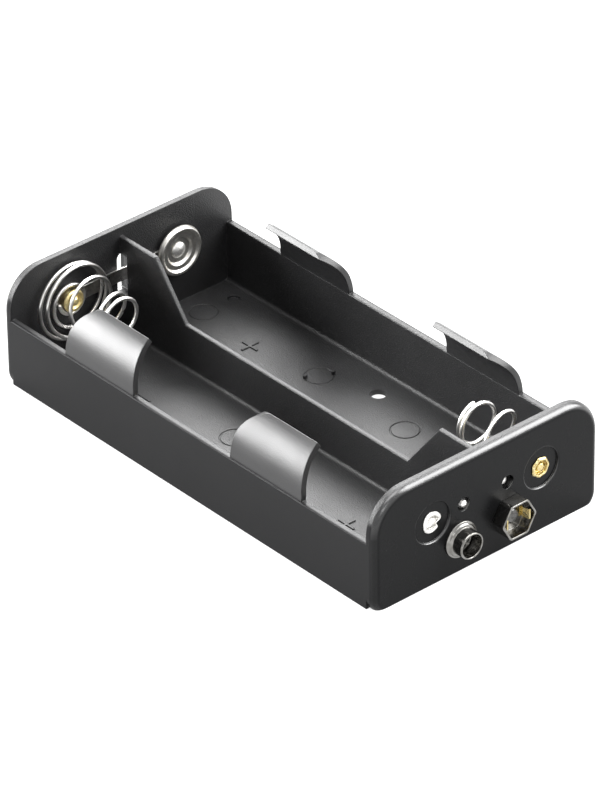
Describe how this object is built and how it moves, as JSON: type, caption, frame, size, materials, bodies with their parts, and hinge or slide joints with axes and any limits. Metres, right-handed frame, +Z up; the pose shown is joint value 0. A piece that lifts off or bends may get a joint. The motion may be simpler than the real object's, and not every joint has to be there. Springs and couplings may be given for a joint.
{
  "type": "battery holder",
  "caption": "Open black plastic battery holder for round cells in two bays, with curved clips, conical springs, disc contacts and snap studs on one end.",
  "frame": {"origin": "on the underside, midway between the two mounting holes", "axes": "+X along the holder towards the end plate with the studs, +Y across towards the bay with the near spring, +Z up out of the open bays"},
  "size_m": [0.1143, 0.058, 0.025],
  "materials": {
    "holder_plastic": "satin",
    "bright_nickel": "bright",
    "spring_wire": "bright",
    "brass_parts": "satin",
    "strap_steel": "satin",
    "plated_rivets": "satin"
  },
  "bodies": {
    "root": {"holder_body": "holder_plastic", "bridge_strap": "strap_steel", "positive_strap": "strap_steel", "negative_strap": "strap_steel", "far_spring": "spring_wire", "near_spring": "spring_wire", "far_disc_contact": "bright_nickel", "near_disc_contact": "bright_nickel", "far_spring_rivet": "brass_parts", "near_spring_rivet": "brass_parts", "far_disc_rivet": "plated_rivets", "near_disc_rivet": "plated_rivets", "male_stud": "bright_nickel", "female_socket": "bright_nickel", "male_stud_rivet": "plated_rivets", "female_socket_rivet": "plated_rivets", "socket_leaves": "brass_parts"}
  },
  "joints": []
}
